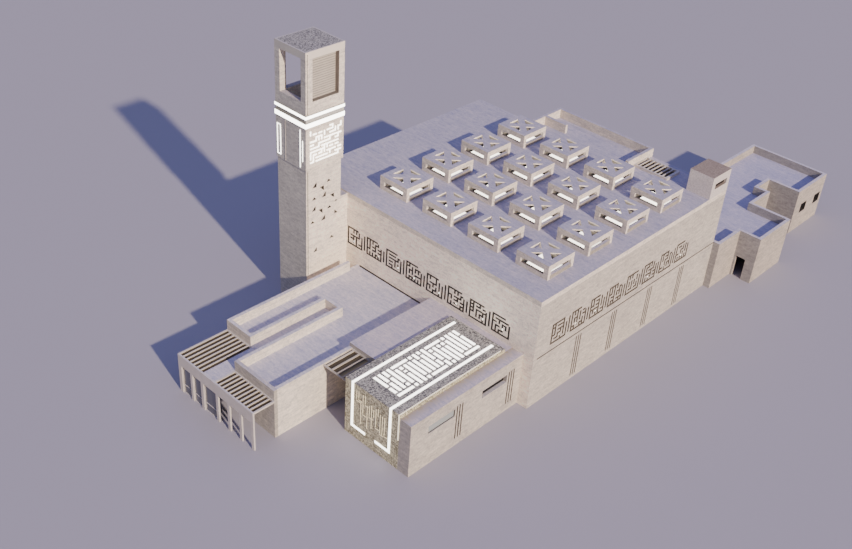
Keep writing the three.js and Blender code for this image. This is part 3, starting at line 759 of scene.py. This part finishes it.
class Engraving:
    """A sheet of cells of which some are picked to be grooves or bars."""

    def __init__(self, width, height, columns, rows):
        self.size = (width, height)
        self.cell = (width * SCALE / columns, height * SCALE / rows)
        self.piece = sheet(width, height, columns, rows)

    def cell_of(self, face):
        return math.floor(face.center.x / self.cell[0]), math.floor(face.center.y / self.cell[1])

    def pick(self, wanted):
        """Selects the faces of the cells for which wanted is true, and stays in edit mode."""
        take(self.piece)
        bpy.ops.object.mode_set(mode="EDIT")
        bpy.ops.mesh.select_mode(type="FACE")
        bpy.ops.mesh.select_all(action="DESELECT")
        bpy.ops.object.mode_set(mode="OBJECT")
        for face in self.piece.data.polygons:
            face.select = wanted(self.cell_of(face))
        bpy.ops.object.mode_set(mode="EDIT")

    def pick_border(self):
        """Selects the sheet's open edges, in edit mode, and none where two grooves meet at a corner."""
        bpy.ops.mesh.select_mode(type="EDGE")
        bpy.ops.mesh.select_all(action="DESELECT")
        bpy.ops.mesh.select_non_manifold(extend=False, use_multi_face=False, use_verts=False)

    def add_rim(self, rim):
        """Widens the sheet by a plain rim on every side."""
        width, height = self.size
        bpy.ops.object.mode_set(mode="EDIT")
        self.pick_border()
        bpy.ops.mesh.extrude_region_move(TRANSFORM_OT_translate={"value": (0.0, 0.0, 0.0)})
        growth = ((width + 2 * rim) / width, (height + 2 * rim) / height, 1.0)
        middle = (width * SCALE / 2, height * SCALE / 2, 0.0)
        bpy.ops.transform.resize(value=growth, center_override=middle)
        bpy.ops.object.mode_set(mode="OBJECT")

    def press(self, depth, grooves, lights):
        """Presses the grooves in and closes the sheet to a plate. Grooves take the second finish, and
        the floors of the lights the third."""
        self.pick(lambda cell: cell in grooves)
        bpy.ops.mesh.extrude_region_move(TRANSFORM_OT_translate={"value": (0.0, 0.0, -depth * SCALE)})
        bpy.ops.mesh.select_more()
        bpy.ops.object.mode_set(mode="OBJECT")
        for face in self.piece.data.polygons:
            if face.select:
                face.material_index = 2 if self.cell_of(face) in lights and face.normal.z > 0.5 else 1
        bpy.ops.object.mode_set(mode="EDIT")
        self.pick_border()
        back = {"value": (0.0, 0.0, -depth * PLATE * SCALE)}
        bpy.ops.mesh.extrude_region_move(TRANSFORM_OT_translate=back)
        bpy.ops.mesh.edge_face_add()
        bpy.ops.mesh.select_all(action="SELECT")
        bpy.ops.mesh.normals_make_consistent(inside=False)
        bpy.ops.object.mode_set(mode="OBJECT")
        return self.piece

    def raise_bars(self, thickness, bars):
        """Keeps the bars only, as separate flat strips of one thickness."""
        self.pick(lambda cell: cell not in bars)
        bpy.ops.mesh.delete(type="FACE")
        bpy.ops.object.mode_set(mode="OBJECT")
        apply_modifier(self.piece, "SOLIDIFY", thickness=thickness * SCALE, offset=1.0)
        return self.piece


def strokes(draw, columns, rows, chances, pitch=2):
    """Cells of short strokes that run right or up from points a pitch of cells apart."""
    cells = set()
    for column in range(0, columns, pitch):
        for row in range(0, rows, pitch):
            way = draw.choices(("right", "up", "none"), chances)[0]
            if way == "right" and column + pitch < columns:
                cells.update((column + step, row) for step in range(pitch + 1))
            if way == "up" and row + pitch < rows:
                cells.update((column, row + step) for step in range(pitch + 1))
    return cells


# Engraved bands: panels of strokes, each in a frame open at one corner, with an upright bar between
# panels and a small light low in each panel. Panels, gaps and rows are counted in cells.
PANELS = 8
PANEL = 11
PANEL_GAP = 3
PERIOD = PANEL + PANEL_GAP
BAND_ROWS = 11
BAND_CHANCES = (2, 3, 1)

# How many cells open at a frame's corner, along its top and down its side
OPENING = {"along": (2, 4), "down": 3}

# A light lies below this row and to the right of this column of its panel
LIGHT_ROW = 4
LIGHT_COLUMN = 3

BAND_DEPTH = 0.1
BAND_RIM = 0.05
FRONT_BAND = {"x": (-24.0, -2.85), "z": (6.05, 8.15)}
SIDE_BAND = {"y": (2.1, 24.1), "z": (6.1, 8.45)}


def band_cells(draw):
    """A band's grooves and its lights."""
    top, last = BAND_ROWS - 1, PANEL - 1
    grooves, lights = set(), set()
    for panel in range(PANELS):
        start = panel * PERIOD
        cells = strokes(draw, PANEL, BAND_ROWS, BAND_CHANCES)
        cells.update((column, row) for column in range(PANEL) for row in (0, top))
        cells.update((column, row) for column in (0, last) for row in range(BAND_ROWS))
        opening = draw.randint(*OPENING["along"])
        cells -= {(last - step, top) for step in range(opening)}
        cells -= {(last, top - step) for step in range(OPENING["down"])}
        grooves.update((start + column, row) for column, row in cells)
        low = [(column, row) for column, row in sorted(cells) if 0 < row < LIGHT_ROW]
        column, row = draw.choice([cell for cell in low if LIGHT_COLUMN < cell[0] < last])
        lights.add((start + column, row))
        if panel < PANELS - 1:
            grooves.update((start + PANEL + 1, row) for row in range(1, top - 2 * (panel % 2)))
    return grooves, lights


def add_band(name, corner, along, length, height, groove):
    """One engraved band, set flush in its recess in a wall."""
    inset = CLEARANCE + BAND_RIM
    columns = PANELS * PERIOD - PANEL_GAP
    engraving = Engraving(length - 2 * inset, height - 2 * inset, columns, BAND_ROWS)
    engraving.add_rim(BAND_RIM)
    plate = engraving.press(BAND_DEPTH, *band_cells(random.Random(SEEDS[name])))
    start = Vector(corner) + Vector(along) * inset + Vector((0.0, 0.0, inset))
    finish_piece(stand(plate, start, along, (0, 0, 1)), name, f"hall {groove} warm")


def add_bands():
    """The bands of the hall's front wall and of its two sides."""
    (start, end), (foot, top) = FRONT_BAND["x"], FRONT_BAND["z"]
    front = real_box("hall_front_wall")[0].y
    add_band("front_band", (start, front, foot), (1, 0, 0), end - start, top - foot, "groove")
    (start, end), (foot, top) = SIDE_BAND["y"], SIDE_BAND["z"]
    right, left = real_box("hall_right_wall")[1].x, real_box("hall_left_wall")[0].x
    add_band("right_band", (right, start, foot), (0, 1, 0), end - start, top - foot, "fine_groove")
    add_band("left_band", (left, end, foot), (0, -1, 0), end - start, top - foot, "fine_groove")


# Skylights: in each box a lit pane lies on black flashing over the opening in the roof
FLASHING = {"size": 2.98, "border": 0.54, "thickness": 0.02}
PANE_SIZE = 2.3
PANE_THICKNESS = 0.045


def add_skylight_panes():
    """A ring of flashing and a lit pane in the first box, repeated in rows."""
    count, pitch_x, pitch_y = SKYLIGHT["rows"], SKYLIGHT["pitch_x"], SKYLIGHT["pitch_y"]
    roof = real_box("rear_roof")[1].z + CLEARANCE
    edge = (SKYLIGHT["size"] - FLASHING["size"]) / 2
    flashing = ring(FLASHING["size"], FLASHING["size"], FLASHING["border"], FLASHING["thickness"])
    stand(flashing, (SKYLIGHT["x"] + edge, SKYLIGHT["y"] + edge, roof), (1, 0, 0), (0, 1, 0))
    edge = (SKYLIGHT["size"] - PANE_SIZE) / 2
    x, y, z = SKYLIGHT["x"] + edge, SKYLIGHT["y"] + edge, roof + FLASHING["thickness"] + CLEARANCE
    pane = block((x, y, z), (x + PANE_SIZE, y + PANE_SIZE, z + PANE_THICKNESS))
    for piece in (flashing, pane):
        repeat(piece, count, (pitch_x, 0.0, 0.0))
        repeat(piece, count, (0.0, pitch_y, 0.0))
    finish_piece(flashing, "skylight_flashing", "flashing")
    finish_piece(pane, "skylight_panes", "warm")


# Minaret: a lit labyrinth and lit upright frames below the band, and the lantern's louvre
MINARET_LIGHT = 0.04
LABYRINTH = {"y": (-4.76, -1.02), "z": (16.5, 19.73), "columns": 34, "rows": 28}
LABYRINTH_STROKES = {"chances": (4, 2, 2), "pitch": 3}
UPRIGHT_FRAME = {"corner": (-28.06, 16.2), "size": (0.52, 3.1), "border": 0.08}
UPRIGHT_LINES = (
    {"x": -24.82, "z": (16.0, 19.8), "width": 0.09},
    {"x": -24.49, "z": (16.7, 18.8), "width": 0.08},
)
SEAM = {"x": -26.9, "z": (15.85, 20.1), "width": 0.05}
LOUVRE = {"slats": 18, "width": 0.175, "thickness": 0.035, "tilt": 9.0, "lining": 0.03}


def add_labyrinth():
    """Lit strokes on the right face of the minaret's head."""
    (y0, y1), (z0, z1) = LABYRINTH["y"], LABYRINTH["z"]
    columns, rows = LABYRINTH["columns"], LABYRINTH["rows"]
    engraving = Engraving(y1 - y0, z1 - z0, columns, rows)
    bars = strokes(random.Random(SEEDS["labyrinth"]), columns, rows, **LABYRINTH_STROKES)
    piece = engraving.raise_bars(MINARET_LIGHT, bars)
    face = real_box("minaret_lantern")[1].x + CLEARANCE
    finish_piece(stand(piece, (face, y0, z0), (0, 1, 0), (0, 0, 1)), "minaret_labyrinth", "lit")


def add_uprights():
    """A tall narrow frame, two lines and a fine pale seam on the front face."""
    face = real_box("minaret_lantern")[0].y - CLEARANCE
    x, z = UPRIGHT_FRAME["corner"]
    frame_ring = ring(*UPRIGHT_FRAME["size"], UPRIGHT_FRAME["border"], MINARET_LIGHT)
    lights = [stand(frame_ring, (x, face, z), (1, 0, 0), (0, 0, 1))]
    for line in (*UPRIGHT_LINES, SEAM):
        x, (z0, z1), half = line["x"], line["z"], line["width"] / 2
        lights.append(block((x - half, face - MINARET_LIGHT, z0), (x + half, face, z1)))
    seam = lights.pop()
    finish_piece(join(lights), "minaret_upright_lights", "lit")
    finish_piece(seam, "minaret_front_seam", "slat")


def add_louvre():
    """Tilted stone slats in the lantern's right opening, before a dark lining of painted shade."""
    low, high = real_box("minaret_louvre")
    face, lining = real_box("minaret_lantern")[1].x, LOUVRE["lining"]
    back = block((low.x, low.y + CLEARANCE, low.z + CLEARANCE), (low.x + lining, high.y - CLEARANCE, high.z))
    jamb_low = (high.x, high.y - lining - CLEARANCE, low.z + CLEARANCE)
    jamb = block(jamb_low, (face - CLEARANCE, high.y - CLEARANCE, high.z - CLEARANCE))
    sill_high = (face - CLEARANCE, high.y - lining - 2 * CLEARANCE, low.z + lining)
    sill = block((high.x, low.y + CLEARANCE, low.z + CLEARANCE), sill_high)
    finish_piece(join([back, jamb, sill]), "louvre_shade_lining", "lining")
    pitch = (high.z - low.z) / LOUVRE["slats"]
    half, middle = LOUVRE["thickness"] / 2, high.x - lining
    reach = LOUVRE["width"] / 2
    z = low.z + pitch / 2
    corner = (middle - half, low.y + CLEARANCE, z - reach)
    slat = block(corner, (middle + half, high.y - CLEARANCE, z + reach))
    slat.rotation_euler = (0.0, -math.radians(LOUVRE["tilt"]), 0.0)
    take(slat)
    bpy.ops.object.transform_apply(location=True, rotation=True, scale=True)
    repeat(slat, LOUVRE["slats"], (0.0, 0.0, pitch))
    finish_piece(slat, "louvre_slats", "louvre")
    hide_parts("minaret_louvre")


# Tan block: a lit frame folded over its front edge, with lit bars on the roof and fine gold ones on
# the front
TAN_LIGHT = 0.03
FRAME_LIGHT = {"x": (-8.0, -3.5), "width": 0.27, "foot": 1.1, "back": -1.47, "feet": (1.5, 1.55)}
ROOF_BARS = {"x": (-7.25, -4.1), "y": (-12.35, -2.4), "bar": 0.27, "last_gap": 0.2}
ROOF_GROUPS = ((4, "right"), (4, "left"), (4, "right"), (4, "left"), (4, "right"))
ROOF_SPLITS = {"parts": 6, "counts": (0, 1, 1, 1, 2)}
GOLD_BARS = {"x": (-7.5, -4.0), "z": (2.0, 5.6), "pitch": 0.26, "width": 0.06}
GOLD_LENGTHS = {"drop": 1.2, "range": (0.6, 3.2)}
SHORT_BARS = {"chance": 0.45, "room": 0.3, "below": 0.15, "length": 1.6}
EDGE_LINE = {"x": -2.53, "width": 0.16, "foot": 3.2, "back": -1.5, "top_width": 0.09}


def folded_strip(x, roof_x, foot, back):
    """A strip between two sides that climbs the tan block's front and runs back over its roof."""
    front, roof = real_box("tan_wall")[0].y - CLEARANCE, real_box("tan_roof")[1].z + CLEARANCE
    return [
        block((x[0], front - TAN_LIGHT, foot), (x[1], front, roof - CLEARANCE)),
        block((roof_x[0], front - TAN_LIGHT, roof), (roof_x[1], back, roof + TAN_LIGHT)),
    ]


def add_frame_light():
    """The frame, with two short feet that don't meet."""
    half, foot = FRAME_LIGHT["width"] / 2, FRAME_LIGHT["foot"]
    front, top = real_box("tan_wall")[0].y - CLEARANCE, foot + FRAME_LIGHT["width"]
    left, right = FRAME_LIGHT["x"]
    bars = []
    for x in (left, right):
        span = (x - half, x + half)
        bars += folded_strip(span, span, foot, FRAME_LIGHT["back"])
    start, end = left + half + CLEARANCE, right - half - CLEARANCE
    long_foot, short_foot = FRAME_LIGHT["feet"]
    bars.append(block((start, front - TAN_LIGHT, foot), (start + long_foot, front, top)))
    bars.append(block((end - short_foot, front - TAN_LIGHT, foot), (end, front, top)))
    finish_piece(join(bars), "tan_frame_light", "lit")


def add_edge_line():
    """A finer line near the block's right edge."""
    x, half = EDGE_LINE["x"], EDGE_LINE["width"] / 2
    roof_x = (x + half - EDGE_LINE["top_width"], x + half)
    line = folded_strip((x - half, x + half), roof_x, EDGE_LINE["foot"], EDGE_LINE["back"])
    finish_piece(join(line), "tan_edge_line", "edge")


def add_roof_bars():
    """Rows of bars across the roof, split at changing places, with a bar along one side of a group."""
    draw = random.Random(SEEDS["roof_bars"])
    (x0, x1), (y, back), bar = ROOF_BARS["x"], ROOF_BARS["y"], ROOF_BARS["bar"]
    low = real_box("tan_roof")[1].z + CLEARANCE
    high = low + TAN_LIGHT
    pitch = (back - y + ROOF_BARS["last_gap"]) / sum(count for count, _ in ROOF_GROUPS)
    gap = pitch - bar
    parts = ROOF_SPLITS["parts"]
    bars = []
    for count, side in ROOF_GROUPS:
        end = y + count * pitch - gap
        left, right = x0, x1
        if side == "left":
            bars.append(block((left, y, low), (left + bar, end, high)))
            left += pitch
        if side == "right":
            bars.append(block((right - bar, y, low), (right, end, high)))
            right -= pitch
        for _ in range(count):
            splits = sorted(draw.sample(range(1, parts), draw.choice(ROOF_SPLITS["counts"])))
            edges = [left] + [left + (right - left) * split / parts for split in splits] + [right]
            for start, stop in zip(edges, edges[1:]):
                first = start + (gap / 2 if start > left else 0.0)
                last = stop - (gap / 2 if stop < right else 0.0)
                bars.append(block((first, y, low), (last, y + bar, high)))
            y += pitch
    finish_piece(join(bars), "tan_roof_bars", "lit")


def add_gold_bars():
    """Fine upright bars of changing length, with a few short ones across."""
    draw = random.Random(SEEDS["gold_bars"])
    (x, x1), (z0, z1) = GOLD_BARS["x"], GOLD_BARS["z"]
    pitch, half = GOLD_BARS["pitch"], GOLD_BARS["width"] / 2
    face = real_box("tan_wall")[0].y - CLEARANCE
    front = face - TAN_LIGHT
    bars = []
    while x < x1:
        top = z1 - draw.random() * GOLD_LENGTHS["drop"]
        foot = max(z0, top - draw.uniform(*GOLD_LENGTHS["range"]))
        bars.append(block((x - half, front, foot), (x + half, face, top), FINE_BEVEL))
        if draw.random() < SHORT_BARS["chance"] and foot - z0 > SHORT_BARS["room"]:
            level, end = foot - SHORT_BARS["below"], x + SHORT_BARS["length"] * pitch
            bars.append(block((x - half, front, level - half), (end, face, level + half), FINE_BEVEL))
        x += pitch
    finish_piece(join(bars), "tan_front_bars", "gold")


# Windows and glazing
FRAME_DEPTH = 0.05
NEAR_WINDOW = {"y": (-11.8, -8.6), "z": (3.52, 4.34), "border": 0.04}
FAR_WINDOW = {"y": (-5.2, -1.95), "z": (3.52, 4.34), "border": 0.06}

# How far behind the wall's face the near window's frame and its pane's back and front lie
NEAR_DEPTHS = {"frame": 0.1, "back": 0.15, "front": 0.11}

# The annex's windows, by their sides along Y
END_WINDOWS = ((48.1, 49.5), (51.4, 52.8))
LEFT_WINDOWS = ((33.0, 34.4), (38.0, 39.4), (43.0, 44.4), (48.0, 49.4))
ANNEX_WINDOW_Z = (2.2, 3.4)
ANNEX_BORDER = 0.07


def window_frame(x, y, z, border, mullion=False, depth=FRAME_DEPTH):
    """A frame in an opening of a wall that faces along X, with its back at x."""
    width, height = y[1] - y[0] - 2 * CLEARANCE, z[1] - z[0] - 2 * CLEARANCE
    corner = (x, y[0] + CLEARANCE, z[0] + CLEARANCE)
    parts = [stand(ring(width, height, border, depth), corner, (0, 1, 0), (0, 0, 1))]
    if mullion:
        middle, inner = (y[0] + y[1]) / 2, border + 2 * CLEARANCE
        corner = (x, middle - border / 2, z[0] + inner)
        parts.append(block(corner, (x + FRAME_DEPTH, middle + border / 2, z[1] - inner)))
    return parts


def add_windows():
    """Dark frames in every window of the walls that face along X, and the near window's pale pane."""
    face = real_box("pale_wall")[1].x
    y, z = NEAR_WINDOW["y"], NEAR_WINDOW["z"]
    frames = window_frame(face - NEAR_DEPTHS["frame"], **NEAR_WINDOW)
    glass = real_box("pale_wall_glass")[1].x + CLEARANCE
    frames += window_frame(glass, **FAR_WINDOW)
    glass = real_box("annex_end_glass")[1].x + CLEARANCE
    depth = real_box("annex_end_right_wall")[1].x - glass - CLEARANCE
    for span in END_WINDOWS:
        frames += window_frame(glass, span, ANNEX_WINDOW_Z, ANNEX_BORDER, True, depth)
    glass = real_box("annex_left_glass")[0].x - CLEARANCE - FRAME_DEPTH
    for span in LEFT_WINDOWS:
        frames += window_frame(glass, span, ANNEX_WINDOW_Z, ANNEX_BORDER, True)
    finish_piece(join(frames), "window_frames", "metal")
    corner = (face - NEAR_DEPTHS["back"], y[0] + CLEARANCE, z[0] + CLEARANCE)
    pane = block(corner, (face - NEAR_DEPTHS["front"], y[1] - CLEARANCE, z[1] - CLEARANCE))
    finish_piece(pane, "near_window_pane", "pale_glass")


# The portico's three glazed bays, between its piers
BAYS = {"x": ((-22.08, -20.78), (-20.47, -19.27), (-18.91, -17.14)), "height": 3.0, "rail": 0.9}
BAY_FRAME = 0.06


def add_portico_frames():
    """Thin pale frames around the portico's three glazed bays, with a rail at sill height."""
    face = real_box("portico_glass")[0].y - CLEARANCE
    frames = []
    for left, right in BAYS["x"]:
        start, width = left + CLEARANCE, right - left - 2 * CLEARANCE
        bay = ring(width, BAYS["height"] - 3 * CLEARANCE, BAY_FRAME, BAY_FRAME)
        frames.append(stand(bay, (start, face, CLEARANCE), (1, 0, 0), (0, 0, 1)))
        inner = BAY_FRAME + CLEARANCE
        corner = (start + inner, face - BAY_FRAME, BAYS["rail"])
        frames.append(block(corner, (start + width - inner, face, BAYS["rail"] + BAY_FRAME)))
    finish_piece(join(frames), "portico_glass_frames", "pier")


# Dark sheets of painted shade close the gaps between the slats from below, and the rear pergola's lies
# in its kerb
PERGOLAS = ("portico_left_pergola", "portico_right_pergola")
PERGOLA_SHADE_SHEET = {"thickness": 0.03, "margin": 0.02}
REAR_KERB = {"left": 0.1, "right": 0.26, "front": 0.15, "back": 0.2}


def shade_sheet_below(name):
    """A dark sheet of painted shade that closes a pergola from below."""
    low, high = real_box(name)
    top, margin = low.z - CLEARANCE, PERGOLA_SHADE_SHEET["margin"]
    corner = (low.x + margin, low.y + margin, top - PERGOLA_SHADE_SHEET["thickness"])
    return block(corner, (high.x - margin, high.y - margin, top))


def add_pergola_shade_sheets():
    """One piece of painted shade sheets for the portico and the rear pergola, and one for the side entrance.
    """
    shade_sheets = [shade_sheet_below(name) for name in PERGOLAS]
    low, high = real_box("rear_pergola")
    corner = (low.x + REAR_KERB["left"] + CLEARANCE, low.y + REAR_KERB["front"] + CLEARANCE, low.z)
    x, y = high.x - REAR_KERB["right"] - CLEARANCE, high.y - REAR_KERB["back"] - CLEARANCE
    shade_sheets.append(block(corner, (x, y, low.z + PERGOLA_SHADE_SHEET["thickness"])))
    finish_piece(join(shade_sheets), "pergola_shade_sheets", "painted_shade_sheet")
    finish_piece(shade_sheet_below("side_entrance_pergola"), "side_pergola_shade_sheet", "side_shade_sheet")


# A strip of painted shade where the wing's roof meets the hall
ROOF_SHADE_STRIP = {"x": (-22.1, -12.5), "depth": 0.08, "height": 0.13}


def add_roof_shade_strip():
    """A dark strip of painted shade where the wing's roof meets the hall."""
    roof, (x0, x1) = real_box("wing_roof")[1].z + CLEARANCE, ROOF_SHADE_STRIP["x"]
    joint = block((x0, -ROOF_SHADE_STRIP["depth"], roof), (x1, -CLEARANCE, roof + ROOF_SHADE_STRIP["height"]))
    finish_piece(joint, "wing_roof_shade_strip", "groove")


# Floor
FLOOR = {"size": 400.0, "drop": 0.002, "tone": (0.37, 0.36, 0.43, 1.0), "roughness": 0.9}


def add_floor():
    """A plain pale floor a hair below the building's foot."""
    deselect()
    bpy.ops.mesh.primitive_plane_add(size=FLOOR["size"], location=(0.0, 0.0, -FLOOR["drop"]))
    floor = bpy.context.active_object
    floor.name = "floor"
    ground = Finish("pale_floor")
    floor.data.materials.append(ground.close(FLOOR["tone"], FLOOR["roughness"]))


add_camera()
add_sky(**SKY)
add_sun("sun", **SUN)
add_sun("overhead_light", **OVERHEAD)
dress_nodes()
add_bands()
add_skylight_panes()
add_labyrinth()
add_uprights()
add_louvre()
add_roof_shade_strip()
add_pergola_shade_sheets()
add_frame_light()
add_edge_line()
add_roof_bars()
add_gold_bars()
add_windows()
add_portico_frames()
add_floor()
